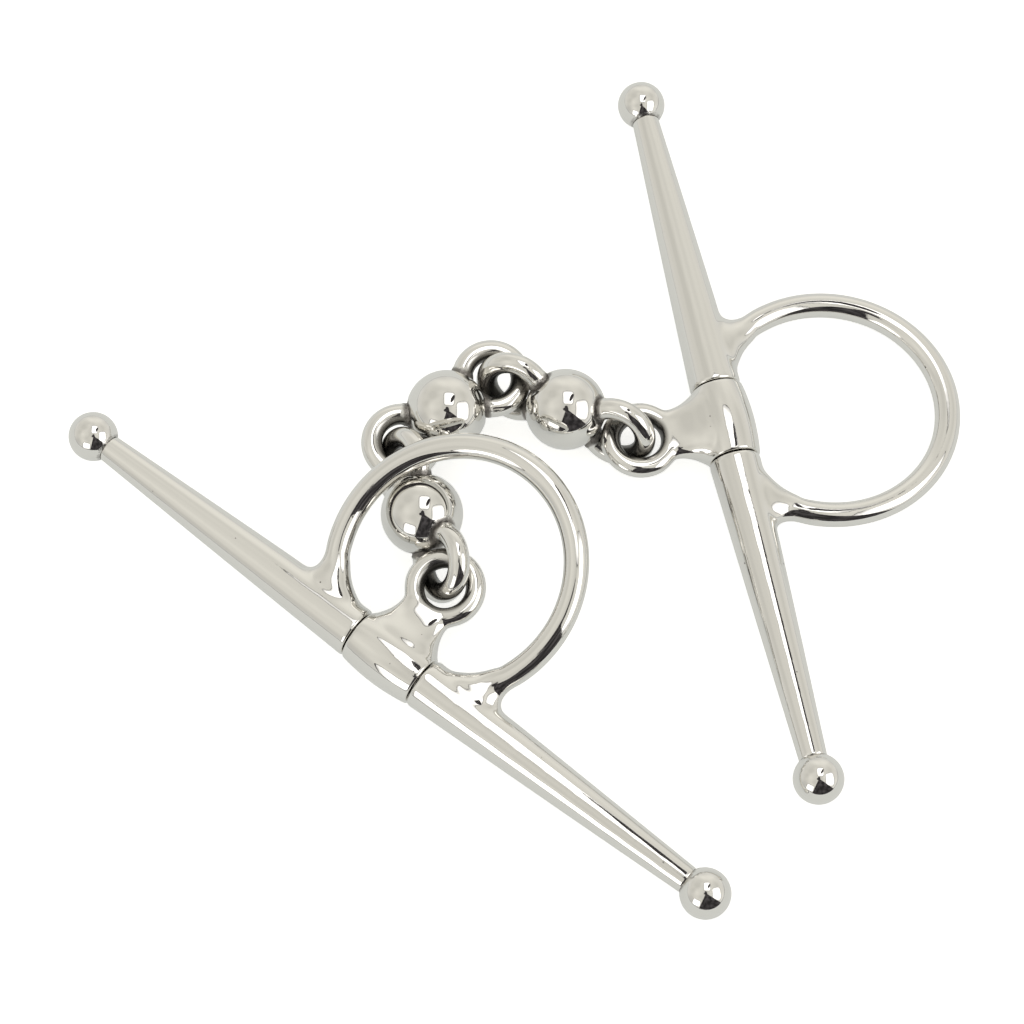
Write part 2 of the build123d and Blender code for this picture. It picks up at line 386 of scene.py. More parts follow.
# %% One cheek, then its place and its twin
def root_nearness(p):
    """1 in the weld between ring and arm, falling to 0 about 5 mm away from it."""
    root_height = RING_HALF_HEIGHT * math.sqrt(
        1 - ((RING_REACH - ARM_ROOT_DIA / 2) / RING_HALF_DEPTH) ** 2
    )
    seam = Vector((ARM_ROOT_DIA / 2 + 0.6, math.copysign(root_height, p.y), 0))
    away = p - seam
    away.y *= 0.7
    away.z *= 0.6
    return 1 - ease(away.length, 3.5, 8.5)


def cheek_bar():
    bar = joined("cheek_bar", [
        cheek_arm(), turned(cheek_arm(), 180, "X"), cheek_ring(), ring_root(),
        turned(ring_root(), 180, "X"),
    ])
    fuse(bar, CHEEK_VOXEL, CHEEK_ROUNDS)
    mark(bar, "root", root_nearness)
    dress(bar, "root", CHEEK_WELD_ROUNDS)
    drill(bar, PIN_DIA / 2, 2 * (root_y + PIN_SOCKET))
    return bar


bar = cheek_bar()


# %% [markdown]
# ## The sleeves
# A sleeve is a barrel that turns on the pin, with a waisted neck and an eye for the chain. It is
# one casting, so its barrel, neck and eye are grown separately and fused as the cheek was. The neck
# is a flat oval that narrows and thins towards the eye, and its sides flare out to the barrel's
# whole length.

# %% Sizes of a sleeve, in millimetres
SLEEVE_END_DIA = 11.1
SLEEVE_DIA = 12.5
BARREL_CHAMFER = 0.25     # off the radius, over the last part of the half length
BARREL_FULL_SHARE = 0.985
NECK_REACH = 18.2
SLEEVE_EYE_HOLE_DIA = 8.4
SLEEVE_EYE_WIRE_DIA = 4.2
NECK_HOLE_RADIUS = (SLEEVE_EYE_HOLE_DIA + 0.6) / 2 - 0.02   # its edge is hidden in the wire
BORE_RADIUS = PIN_DIA / 2 + 0.05
SLEEVE_VOXEL = 0.2
SLEEVE_ROUNDS = 16
NECK_ROUNDS = 110
NECK_SECTIONS = [         # distance from the pin, half width, half thickness
    (1.0, 8.15, 5.3), (3.6, 8.15, 5.2), (4.8, 8.0, 4.9), (5.8, 7.65, 4.45), (6.8, 7.0, 3.9),
    (7.8, 6.4, 3.4), (9.0, 5.95, 2.95), (10.3, 5.65, 2.55), (11.8, 5.5, 2.3), (13.4, 5.3, 2.1),
]


# %% Barrel, neck and eye
def barrel():
    half, belly = SLEEVE_LENGTH / 2, (SLEEVE_DIA - SLEEVE_END_DIA) / 2
    rim = SLEEVE_END_DIA / 2 - BARREL_CHAMFER
    half_steps = 8
    sections = [(-half, 0, rim, rim)]
    for k in range(2 * half_steps + 1):
        t = -1 + k / half_steps
        radius = SLEEVE_END_DIA / 2 + belly * (1 - t * t)
        sections.append((half * t * BARREL_FULL_SHARE, 0, radius, radius))
    sections.append((half, 0, rim, rim))
    return turned(grown(sections), 90)


def neck():
    return grown([(x, 0, wide, thick) for x, wide, thick in NECK_SECTIONS], squareness=2.8)


def eye_loop(centre_x, hole_dia, wire_dia):
    begin()
    bpy.ops.mesh.primitive_torus_add(
        major_radius=(hole_dia + wire_dia) / 2, minor_radius=wire_dia / 2,
        major_segments=128, minor_segments=48, location=(centre_x, 0, 0),
    )
    loop = bpy.context.object
    bpy.ops.object.transform_apply(location=True, rotation=True, scale=True)
    return loop


# %% One sleeve
def neck_nearness(p):
    """1 on the neck, falling to 0 inside the barrel, at the eye and at the barrel's ends."""
    return (ease(p.x, 2.5, 5.0) * (1 - ease(p.x, 12.5, 16.0))
            * (1 - ease(abs(p.y), 7.4, 8.0)))


def sleeve_casting():
    flat_neck = neck()
    drill(flat_neck, NECK_HOLE_RADIUS, 20, 96, centre=(NECK_REACH, 0, 0), turn=(0, 0, 0))
    casting = joined("sleeve", [
        barrel(), flat_neck, eye_loop(NECK_REACH, SLEEVE_EYE_HOLE_DIA, SLEEVE_EYE_WIRE_DIA),
    ])
    fuse(casting, SLEEVE_VOXEL, SLEEVE_ROUNDS)
    mark(casting, "root", neck_nearness)
    dress(casting, "root", NECK_ROUNDS)
    drill(casting, BORE_RADIUS, 2 * SLEEVE_LENGTH)
    return casting


sleeve = sleeve_casting()

# %% [markdown]
# ## The links
# A link is a ball with a closed eye welded on at each end. The eyes can't be threaded once they are
# shut, so this weld is made last, inside the finished chain, where no grinder reaches. It stays
# lumpy and dark, and the ball's bright skin ends at it in a ragged line. Its darkness is partly the
# weld's own scale and partly painted shade, for the crevice where the eye meets the ball.
#
# The eye is a torus. Its points inside the ball are deleted and the two stumps closed. A vertex
# group holds the zone near the ball, where one Displace modifier swells the legs into a bead and a
# second one, with a clouds texture, makes the bead lumpy.

# %% Sizes of a link, in millimetres
LINK_BALL_DIA = 17.0
LINK_EYE_HOLE_DIA = 8.0
LINK_EYE_WIRE_DIA = 4.4
LINK_EYE_SEAT = 0.7
link_eye_offset = LINK_BALL_DIA / 2 - LINK_EYE_SEAT + LINK_EYE_HOLE_DIA / 2
STUMP_DEPTH = 1.3         # of the legs' ends below the ball's surface
BEAD_SWELL = 0.15
BEAD_LUMPS = 0.8
BEAD_GRAIN = 0.8
BALL_WAVES = 0.35
BALL_GRAIN = 0.9
BALL_LEVEL = 0.85         # the texture's value that leaves the ball's skin where it is


# %% Lumps of a weld that nobody could grind
def weld_lumps(name, grain):
    lumps = bpy.data.textures.new(name, "CLOUDS")
    lumps.noise_scale = grain
    lumps.noise_depth = 2
    return lumps


def swell(piece, group, amount, texture=None, middle=0.5):
    """Pushes the group's points outwards evenly, or to and fro by a texture.

    With a texture, points go outwards where it is brighter than middle and inwards where it is
    darker, so a high middle makes mostly hollows.
    """
    push = piece.modifiers.new("swell", "DISPLACE")
    push.vertex_group = group
    push.strength = amount
    if texture:
        push.texture = texture
        push.texture_coords = "LOCAL"
        push.mid_level = middle
    else:
        push.mid_level = 0.0
    apply_all(piece)


# %% One eye
def link_eye(end):
    loop = eye_loop(end * link_eye_offset, LINK_EYE_HOLE_DIA, LINK_EYE_WIRE_DIA)
    only(loop)
    bpy.ops.object.mode_set(mode="EDIT")
    radius = LINK_BALL_DIA / 2
    pick("verts", lambda p: p.length < radius - STUMP_DEPTH)
    bpy.ops.mesh.delete(type="VERT")
    bpy.ops.mesh.select_mode(type="EDGE")
    bpy.ops.mesh.select_non_manifold()
    bpy.ops.mesh.edge_face_add()
    bpy.ops.object.mode_set(mode="OBJECT")
    # This weld zone is also darkened by the material: partly the weld's own dark scale, partly
    # painted shade in the crevice where the eye meets the ball.
    zone = mark(loop, "weld", lambda p: 1 - ease(p.length - radius, 0.3, 1.6))
    swell(loop, "weld", BEAD_SWELL)
    swell(loop, "weld", BEAD_LUMPS, weld_lumps(f"weld_{end}", BEAD_GRAIN))
    print("eye", end, "points in the weld:", sum(1 for z in zone if z > 0))
    return loop


back_eye = link_eye(-1)
front_eye = link_eye(1)

# %% [markdown]
# The ball is a UV sphere with its poles at the sides, away from the eyes. Around each eye's legs
# the torch has left the ball's skin wavy, so its points there are pushed a little too. They go
# mostly inwards, because a neighbour's eye comes close to the ball when the chain bends.

# %% One ball of the chain
def leg_distance(p):
    """Distance of a point from the nearest eye's wire, in millimetres."""
    loop_radius = (LINK_EYE_HOLE_DIA + LINK_EYE_WIRE_DIA) / 2
    across = math.hypot(abs(p.x) - link_eye_offset, p.y) - loop_radius
    return math.hypot(across, p.z) - LINK_EYE_WIRE_DIA / 2


def chain_ball():
    begin()
    bpy.ops.mesh.primitive_uv_sphere_add(
        segments=128, ring_count=64, radius=LINK_BALL_DIA / 2, location=(0, 0, 0)
    )
    ball = bpy.context.object
    bpy.ops.object.transform_apply(location=True, rotation=True, scale=True)
    # The same zone on the ball is darkened by the material: weld scale, and painted shade in the
    # crevice round the eye's legs.
    mark(ball, "weld", lambda p: 1 - ease(leg_distance(p), 0.5, 1.7))
    swell(ball, "weld", BALL_WAVES, weld_lumps("torch", BALL_GRAIN), BALL_LEVEL)
    return ball


ball = chain_ball()

# %% [markdown]
# ## The tip balls
# Each arm ends in a ball, which keeps a leather loop from slipping off. It is bored and welded onto
# the arm's end, and the dressed weld leaves only a faint scalloped edge round its neck, darkened a
# little, partly by what is left of its scale and partly as painted shade in the crease where arm
# and ball meet. The ball starts as a UV sphere with its pole at the arm. The faces round that pole
# are pushed in to make the socket, and their rim is made a little uneven.

# %% One tip ball
NECK_RADIUS = ARM_TIP_DIA / 2 + 0.05
SOCKET_DEPTH = 0.5
SOCKET_TAPER = 0.97
NECK_LUMPS = 0.22
NECK_GRAIN = 0.7
# The neck's darkening is weld scale and painted shade in the crease; this is the share of it that is
# kept.
NECK_SCALE_AND_SHADE_SHARE = 0.62   # the dressed weld keeps only part of its dark scale


def tip_ball():
    begin()
    bpy.ops.mesh.primitive_uv_sphere_add(
        segments=96, ring_count=48, radius=TIP_BALL_DIA / 2,
        location=(0, ARM_LENGTH, 0), rotation=(math.pi / 2, 0, 0),
    )
    tip = bpy.context.object
    bpy.ops.object.transform_apply(location=True, rotation=True, scale=True)
    bpy.ops.object.mode_set(mode="EDIT")
    pick("faces", lambda p: math.hypot(p.x, p.z) < NECK_RADIUS and p.y < ARM_LENGTH)
    bpy.ops.mesh.extrude_region_move(TRANSFORM_OT_translate={"value": (0, SOCKET_DEPTH, 0)})
    bpy.ops.transform.resize(
        value=(SOCKET_TAPER, 1, SOCKET_TAPER), center_override=(0, ARM_LENGTH - 4, 0)
    )
    bpy.ops.object.mode_set(mode="OBJECT")

    def at_neck(p):
        return (p.y < ARM_LENGTH) * (1 - ease(abs(math.hypot(p.x, p.z) - NECK_RADIUS), 0.1, 1.1))

    mark(tip, "weld", at_neck)
    swell(tip, "weld", NECK_LUMPS, weld_lumps("neck", NECK_GRAIN))
    # Marks the neck for the material's darkening: what is left of the weld's scale, and painted shade
    # in the crease where arm and ball meet.
    mark(tip, "weld", lambda p: NECK_SCALE_AND_SHADE_SHARE * at_neck(p))
    return tip


tip = tip_ball()

# %% [markdown]
# ## Laying the pieces down
# Each shape was modelled once. Every place on the bit gets its own copy, with its own mesh, whose
# points are moved to where the CAD has that piece. The object itself stays at the origin, unturned
# and unscaled. A copy is attached to the body that it moves with, and the CAD nodes that it stands
# for are hidden.

# %% Copy, place and attach to the moving bodies
CREASE_ANGLE = 50         # degrees, above which an edge is shaded sharp


def laid(shape, name, where, body, nodes, upside_down=False):
    piece = shape.copy()
    piece.data = shape.data.copy()
    piece.name = piece.data.name = name
    bpy.context.scene.collection.objects.link(piece)
    if upside_down:
        piece.data.transform(Matrix.Rotation(math.pi, 4, "X"))
    piece.data.transform(place[where])
    piece.data.update()
    only(piece)
    bpy.ops.object.shade_smooth_by_angle(
        angle=math.radians(CREASE_ANGLE), keep_sharp_edges=False
    )
    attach(piece, body)
    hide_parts(*nodes)
    return piece


pieces = {}
for hand in ("left", "right"):
    cheek = f"{hand}_cheek"
    pieces[f"{hand}_cheek_bar"] = laid(
        bar, f"{hand}_cheek_bar", cheek, cheek,
        [f"{hand}_upper_arm", f"{hand}_lower_arm", f"{hand}_cheek_ring"],
    )
    for end, upside_down in (("upper", False), ("lower", True)):
        name = f"{hand}_{end}_tip"
        pieces[name] = laid(tip, name, cheek, cheek, [f"{hand}_{end}_ball"], upside_down)
    name = f"{hand}_sleeve"
    pieces[name + "_casting"] = laid(sleeve, name + "_casting", name, name, [name])
for number in (1, 2, 3):
    link = f"link_{number}"
    pieces[link + "_polished_ball"] = laid(
        ball, link + "_polished_ball", link, link, [link + "_ball"]
    )
    for shape, end in ((back_eye, "back"), (front_eye, "front")):
        name = f"{link}_{end}_loop"
        pieces[name] = laid(shape, name, link, link, [f"{link}_{end}_eye"])
for shape in (bar, sleeve, ball, back_eye, front_eye, tip):
    bpy.data.objects.remove(shape, do_unlink=True)
print("pieces:", len(pieces), "faces:", sum(len(p.data.polygons) for p in pieces.values()))

# %% [markdown]
# ## Marking what the polisher could not reach, and the painted shade in the holes
# The buffing wheel doesn't get into the holes of the eyes, so their inner walls stay grey and a
# little rough, and they are painted darker still, as painted shade for the shade that falls inside
# the holes. That is painted on the mesh as a number from 0 to 1, for raw and shaded walls, which
# the material reads. The weld's number, which also carries painted crevice shade, was kept from
# the modelling.

# %% Paint the raw walls of the holes, and their painted shade
def hole_wall(centre_x, hole_dia, wire_dia):
    """Weight that is 1 on the side of an eye's wire that faces the hole's middle."""
    loop_radius = (hole_dia + wire_dia) / 2

    def weight(p):
        around = math.hypot(p.x - centre_x, p.y)
        if around > loop_radius + wire_dia:
            return 0.0
        inward = (loop_radius - around) / (wire_dia / 2)
        return ease(inward, 0.15, 0.7)

    return weight


for hand in ("left", "right"):
    wall = hole_wall(NECK_REACH, SLEEVE_EYE_HOLE_DIA, SLEEVE_EYE_WIRE_DIA)
    home = place[f"{hand}_sleeve"].inverted()
    paint(pieces[f"{hand}_sleeve_casting"], "raw", wall, home)
for number in (1, 2, 3):
    home = place[f"link_{number}"].inverted()
    for end, side in (("back", -1), ("front", 1)):
        wall = hole_wall(side * link_eye_offset, LINK_EYE_HOLE_DIA, LINK_EYE_WIRE_DIA)
        paint(pieces[f"link_{number}_{end}_loop"], "raw", wall, home)

# %% [markdown]
# ## Finishes: node groups that more than one steel uses
# Polished steel isn't perfectly even. Four small effects make it read as real metal, and each is a
# node group with named sockets, so that every material can place it with its own values:
# - `buffing waves`: the wheel leaves the surface faintly wavy, and long lines in it waver;
# - `casting pits`: a few specks where a pore of the steel was opened;
# - `handling film`: a broad, faint difference in gloss, left by hands and by wax;
# - `weld scale`: the dark, rough crust of a weld that nobody ground, with a ragged edge, whose mask
#   the material also uses to paint shade into the crevices at the welds.
# The waves and the scale give a height in metres, the pits and the scale a mask, and the film a
# roughness. The groups hold no shader: the Principled BSDF is in each material.

# %% Helpers for node groups and materials
def new_group(name, inputs, outputs):
    group = bpy.data.node_groups.new(name, "ShaderNodeTree")
    for label, kind, default in inputs:
        socket = group.interface.new_socket(name=label, in_out="INPUT", socket_type=kind)
        if default is not None:
            socket.default_value = default
    for label, kind in outputs:
        group.interface.new_socket(name=label, in_out="OUTPUT", socket_type=kind)
    return group, group.nodes.new("NodeGroupInput"), group.nodes.new("NodeGroupOutput")


def math_node(tree, operation, first, second=None, third=None):
    """A Math node; each term is a socket or a number."""
    node = tree.nodes.new("ShaderNodeMath")
    node.operation = operation
    for i, term in enumerate((first, second, third)):
        if term is None:
            continue
        if isinstance(term, (int, float)):
            node.inputs[i].default_value = term
        else:
            tree.links.new(term, node.inputs[i])
    return node.outputs[0]


def map_range(tree, value, start=0.0, end=1.0, low=0.0, high=1.0, blend="LINEAR"):
    """Takes start..end to low..high, and no further; low and high may be sockets."""
    node = tree.nodes.new("ShaderNodeMapRange")
    node.interpolation_type = blend
    tree.links.new(value, node.inputs["Value"])
    node.inputs["From Min"].default_value = start
    node.inputs["From Max"].default_value = end
    for label, term in (("To Min", low), ("To Max", high)):
        if isinstance(term, (int, float)):
            node.inputs[label].default_value = term
        else:
            tree.links.new(term, node.inputs[label])
    return node.outputs["Result"]


# %% Buffing waves
waves, take, give = new_group(
    "buffing waves",
    [("Vector", "NodeSocketVector", None), ("Wave length", "NodeSocketFloat", 0.006),
     ("Depth", "NodeSocketFloat", 0.00002)],
    [("Height", "NodeSocketFloat")],
)
broad = waves.nodes.new("ShaderNodeTexNoise")
broad.inputs["Detail"].default_value = 1.0
broad.inputs["Roughness"].default_value = 0.35
waves.links.new(take.outputs["Vector"], broad.inputs["Vector"])
waves.links.new(math_node(waves, "DIVIDE", 1.0, take.outputs["Wave length"]), broad.inputs["Scale"])
centred = math_node(waves, "SUBTRACT", broad.outputs["Fac"], 0.5)
waves.links.new(
    math_node(waves, "MULTIPLY", centred, take.outputs["Depth"]), give.inputs["Height"]
)

# %% Casting pits
pits, take, give = new_group(
    "casting pits",
    [("Vector", "NodeSocketVector", None), ("Spacing", "NodeSocketFloat", 0.0015),
     ("Share", "NodeSocketFloat", 0.1), ("Size", "NodeSocketFloat", 0.12)],
    [("Mask", "NodeSocketFloat")],
)
cells = pits.nodes.new("ShaderNodeTexVoronoi")
pits.links.new(take.outputs["Vector"], cells.inputs["Vector"])
pits.links.new(math_node(pits, "DIVIDE", 1.0, take.outputs["Spacing"]), cells.inputs["Scale"])
shade = pits.nodes.new("ShaderNodeSeparateColor")
pits.links.new(cells.outputs["Color"], shade.inputs["Color"])
chosen = math_node(pits, "LESS_THAN", shade.outputs["Red"], take.outputs["Share"])
own_size = math_node(pits, "MULTIPLY", shade.outputs["Green"], take.outputs["Size"])
inside = math_node(pits, "LESS_THAN", cells.outputs["Distance"], own_size)
pits.links.new(math_node(pits, "MULTIPLY", chosen, inside), give.inputs["Mask"])

# %% Handling film
film, take, give = new_group(
    "handling film",
    [("Vector", "NodeSocketVector", None), ("Patch size", "NodeSocketFloat", 0.02),
     ("Least", "NodeSocketFloat", 0.03), ("Most", "NodeSocketFloat", 0.09)],
    [("Roughness", "NodeSocketFloat")],
)
patches = film.nodes.new("ShaderNodeTexNoise")
patches.inputs["Detail"].default_value = 4.0
patches.inputs["Roughness"].default_value = 0.6
film.links.new(take.outputs["Vector"], patches.inputs["Vector"])
film.links.new(math_node(film, "DIVIDE", 1.0, take.outputs["Patch size"]), patches.inputs["Scale"])
spanned = map_range(
    film, patches.outputs["Fac"], 0.3, 0.7, take.outputs["Least"], take.outputs["Most"]
)
film.links.new(spanned, give.inputs["Roughness"])

# %% Weld scale, whose mask also carries painted crevice shade
scale_and_shade_group, take, give = new_group(
    "weld scale",
    [("Vector", "NodeSocketVector", None), ("Zone", "NodeSocketFloat", 0.0),
     ("Grain", "NodeSocketFloat", 0.0006), ("Depth", "NodeSocketFloat", 0.0001)],
    [("Mask", "NodeSocketFloat"), ("Height", "NodeSocketFloat")],
)
crust = scale_and_shade_group.nodes.new("ShaderNodeTexNoise")
crust.inputs["Detail"].default_value = 3.0
scale_and_shade_group.links.new(take.outputs["Vector"], crust.inputs["Vector"])
scale_and_shade_group.links.new(
    math_node(scale_and_shade_group, "DIVIDE", 1.0, take.outputs["Grain"]), crust.inputs["Scale"]
)
ragged = math_node(scale_and_shade_group, "MULTIPLY_ADD", crust.outputs["Fac"], 1.2, -0.6)
edge = map_range(
    scale_and_shade_group, math_node(scale_and_shade_group, "ADD", take.outputs["Zone"], ragged), 0.35, 0.75
)
zoned = math_node(scale_and_shade_group, "MULTIPLY", edge, take.outputs["Zone"])
scale_and_shade_group.links.new(zoned, give.inputs["Mask"])
bumps = math_node(scale_and_shade_group, "MULTIPLY", crust.outputs["Fac"], take.outputs["Depth"])
scale_and_shade_group.links.new(math_node(scale_and_shade_group, "MULTIPLY", bumps, zoned), give.inputs["Height"])
print("node groups:", [g.name for g in bpy.data.node_groups])

# %% [markdown]
# ## The polished steel
# Stainless steel reflects about four fifths of the light, slightly warm. One function builds the
# material, because the pieces differ only in their values: how long and deep the buffing waves are
# and along which direction they run. A Mapping node turns the pattern into the piece's own frame,
# so the waves on an arm are drawn out along it, as the wheel leaves them. Raw walls and weld scale
# are rougher. They are also darker: the weld's scale is dark of itself, and both carry painted
# shade, for the shade that falls inside the eyes' holes and in the crevices at the welds.

# %% Build one polished steel
STEEL = (0.80, 0.785, 0.75, 1)
# Painted shade: the raw walls inside the holes are painted this dark for the shade that falls in the
# holes, darker than unpolished steel is.
SHADED_RAW_STEEL = (0.17, 0.165, 0.155, 1)
# Grey of the weld scale and of the pits; at the welds it is also painted shade for the crevices
# there.
SCALE_AND_SHADE_GREY = (0.24, 0.225, 0.21, 1)
RAW_ROUGHER = 0.22
SCALE_ROUGHER = 0.35
PIT_ROUGHER = 0.3
FINE_LENGTH, FINE_DEPTH = 0.28, 0.12    # of the finer waves, as shares of the long ones


def place_group(tree, group, vector, **values):
    node = tree.nodes.new("ShaderNodeGroup")
    node.node_tree = group
    tree.links.new(vector, node.inputs["Vector"])
    for label, value in values.items():
        socket = node.inputs[label.replace("_", " ")]
        if isinstance(value, (int, float)):
            socket.default_value = value
        else:
            tree.links.new(value, socket)
    return node


def attribute_node(tree, name):
    node = tree.nodes.new("ShaderNodeAttribute")
    node.attribute_type = "GEOMETRY"
    node.attribute_name = name
    return node.outputs["Fac"]


def mix_colour(tree, share, first, second):
    node = tree.nodes.new("ShaderNodeMix")
    node.data_type = "RGBA"
    tree.links.new(share, node.inputs["Factor"])
    for socket, value in ((node.inputs[6], first), (node.inputs[7], second)):
        if isinstance(value, tuple):
            socket.default_value = value
        else:
            tree.links.new(value, socket)
    return node.outputs[2]


def metal(name):
    """A new material, its nodes, and its Principled BSDF set to metal."""
    steel = bpy.data.materials.new(name)
    steel.use_nodes = True
    shader = steel.node_tree.nodes["Principled BSDF"]
    shader.inputs["Metallic"].default_value = 1.0
    return steel, steel.node_tree, shader


def own_frame(tree, coordinates, where, stretch=(1, 1, 1)):
    """Coordinates in the frame of a place, in metres, drawn out by stretch along X, Y and Z."""
    turn = tree.nodes.new("ShaderNodeMapping")
    turn.vector_type = "TEXTURE"
    turn.inputs["Location"].default_value = place[where].translation
    turn.inputs["Rotation"].default_value = place[where].to_euler()
    turn.inputs["Scale"].default_value = stretch
    tree.links.new(coordinates, turn.inputs["Vector"])
    return turn.outputs["Vector"]


def raise_by(tree, shader, height):
    """Bumps the shader by a height in metres."""
    bump = tree.nodes.new("ShaderNodeBump")
    bump.inputs["Distance"].default_value = 1.0
    tree.links.new(height, bump.inputs["Height"])
    tree.links.new(bump.outputs["Normal"], shader.inputs["Normal"])


def polished_steel(name, where, stretch, wave, depth, pit_share):
    """Mirror-polished stainless steel; stretch draws the waves out along the piece's X, Y, Z."""
    steel, tree, shader = metal(name)
    coordinates = tree.nodes.new("ShaderNodeTexCoord").outputs["Object"]
    turned_to = own_frame(tree, coordinates, where, stretch)
    waved = place_group(tree, waves, turned_to, Wave_length=wave, Depth=depth)
    fine = place_group(
        tree, waves, turned_to, Wave_length=wave * FINE_LENGTH, Depth=depth * FINE_DEPTH
    )
    pitted = place_group(tree, pits, coordinates, Spacing=0.0016, Share=pit_share, Size=0.13)
    filmed = place_group(tree, film, coordinates, Patch_size=0.018, Least=0.025, Most=0.075)
    # The weld mask: real weld scale, and painted shade in the crevices at the welds.
    crust_and_shade = place_group(
        tree, scale_and_shade_group, coordinates, Zone=attribute_node(tree, "weld"), Grain=0.0007,
        Depth=0.00012,
    )
    # Painted shade in the base colour: the raw walls of the holes and the weld zones are darkened for
    # the shade in holes and crevices; the weld zones are real dark scale too.
    raw = attribute_node(tree, "raw")
    colour = mix_colour(tree, raw, STEEL, SHADED_RAW_STEEL)
    colour = mix_colour(tree, crust_and_shade.outputs["Mask"], colour, SCALE_AND_SHADE_GREY)
    colour = mix_colour(tree, pitted.outputs["Mask"], colour, SCALE_AND_SHADE_GREY)
    tree.links.new(colour, shader.inputs["Base Color"])
    rough = math_node(tree, "MULTIPLY_ADD", raw, RAW_ROUGHER, filmed.outputs["Roughness"])
    rough = math_node(tree, "MULTIPLY_ADD", crust_and_shade.outputs["Mask"], SCALE_ROUGHER, rough)
    rough = math_node(tree, "MULTIPLY_ADD", pitted.outputs["Mask"], PIT_ROUGHER, rough)
    tree.links.new(rough, shader.inputs["Roughness"])
    height = math_node(tree, "ADD", waved.outputs["Height"], fine.outputs["Height"])
    raise_by(tree, shader, math_node(tree, "ADD", height, crust_and_shade.outputs["Height"]))
    return steel


# %% Give every piece its steel
def dressed_in(names, steel):
    for name in names:
        pieces[name].data.materials.clear()
        pieces[name].data.materials.append(steel)


for hand in ("left", "right"):
    dressed_in(
        [f"{hand}_cheek_bar"],
        polished_steel(f"{hand} cheek steel", f"{hand}_cheek", (1, 5, 1), 0.004, 0.00004, 0.05),
    )
    dressed_in(
        [f"{hand}_upper_tip", f"{hand}_lower_tip"],
        polished_steel(f"{hand} tip steel", f"{hand}_cheek", (1, 1, 1), 0.004, 0.00002, 0.03),
    )
    dressed_in(
        [f"{hand}_sleeve_casting"],
        polished_steel(f"{hand} sleeve steel", f"{hand}_sleeve", (1, 1, 1), 0.006, 0.00005, 0.08),
    )
for number in (1, 2, 3):
    link = f"link_{number}"
    dressed_in(
        [f"{link}_polished_ball", f"{link}_back_loop", f"{link}_front_loop"],
        polished_steel(f"{link} steel", link, (1, 1, 1), 0.005, 0.00002, 0.02),
    )

# %% [markdown]
# ## The pins
# The pin inside each sleeve keeps its CAD shape, because it is hidden but for a hair's breadth in
# the slits. It is plain turned steel: the lathe's tool leaves fine rings along it, which a Wave
# texture across the pin gives.

# %% Turned steel for the pins
GROOVE_GREY, RIDGE_GREY = (0.30, 0.29, 0.28, 1), (0.48, 0.47, 0.45, 1)
GROOVE_DEPTH = 0.000008

for hand in ("left", "right"):
    pin_steel, tree, shader = metal(f"{hand} turned pin")
    coordinates = tree.nodes.new("ShaderNodeTexCoord").outputs["Object"]
    rings = tree.nodes.new("ShaderNodeTexWave")
    rings.bands_direction = "Y"
    rings.inputs["Scale"].default_value = 600
    rings.inputs["Distortion"].default_value = 1.5
    tree.links.new(own_frame(tree, coordinates, f"{hand}_cheek"), rings.inputs["Vector"])
    colour = mix_colour(tree, rings.outputs["Fac"], GROOVE_GREY, RIDGE_GREY)
    tree.links.new(colour, shader.inputs["Base Color"])
    rough = math_node(tree, "MULTIPLY_ADD", rings.outputs["Fac"], 0.15, 0.35)
    tree.links.new(rough, shader.inputs["Roughness"])
    raise_by(tree, shader, math_node(tree, "MULTIPLY", rings.outputs["Fac"], GROOVE_DEPTH))
    pin = frame["nodes"][f"{hand}_spindle"]
    pin.data.materials.clear()
    pin.data.materials.append(pin_steel)

# %% [markdown]
# ## Floor, light and camera
# A mirror shows its surroundings, so polished steel is only as good as the studio round it. This
# one is a pale tent: warm grey walls and roof, a white floor, three bright panels and a thin dark
# gap where the tent meets the table. The camera and the person behind it are dark shapes between the
# panels. The floor glows a little, as paper lit from below does, so that it stays white and the
# shadows stay faint. The steel sees it a little greyer than the camera does, because the camera's
# exposure burns it out to white.

# %% Helpers for the studio
def matte(shader, base, glow, strength):
    """Sets a Principled BSDF to a matte surface that glows."""
    shader.inputs["Base Color"].default_value = tuple(base) + (1,)
    shader.inputs["Roughness"].default_value = 1.0
    shader.inputs["Specular IOR Level"].default_value = 0.0
    shader.inputs["Emission Color"].default_value = tuple(glow) + (1,)
    shader.inputs["Emission Strength"].default_value = strength


def plain(name, colour, strength, diffuse=0.0):
    """A matte material that glows and reflects with one colour, for the studio only."""
    material = bpy.data.materials.new(name)
    material.use_nodes = True
    shader = material.node_tree.nodes["Principled BSDF"]
    matte(shader, [c * diffuse for c in colour], colour, strength)
    return material


def camera_sees(tree, seen, otherwise, surface):
    """Shows one shader to the camera itself and the other one to every mirror and shadow."""
    ray = tree.nodes.new("ShaderNodeLightPath")
    choose = tree.nodes.new("ShaderNodeMixShader")
    tree.links.new(ray.outputs["Is Camera Ray"], choose.inputs[0])
    tree.links.new(otherwise.outputs[0], choose.inputs[1])
    tree.links.new(seen.outputs[0], choose.inputs[2])
    tree.links.new(choose.outputs[0], surface)


# %% The floor
PAPER_WHITE = (1.0, 1.0, 0.995)
PAPER_GLOW = 0.58
PAPER_REFLECTS = 0.95
MIRRORED_BASE = (0.46, 0.465, 0.46)
MIRRORED_TINT = (0.97, 1.0, 1.0)
MIRRORED_GLOW = 0.40

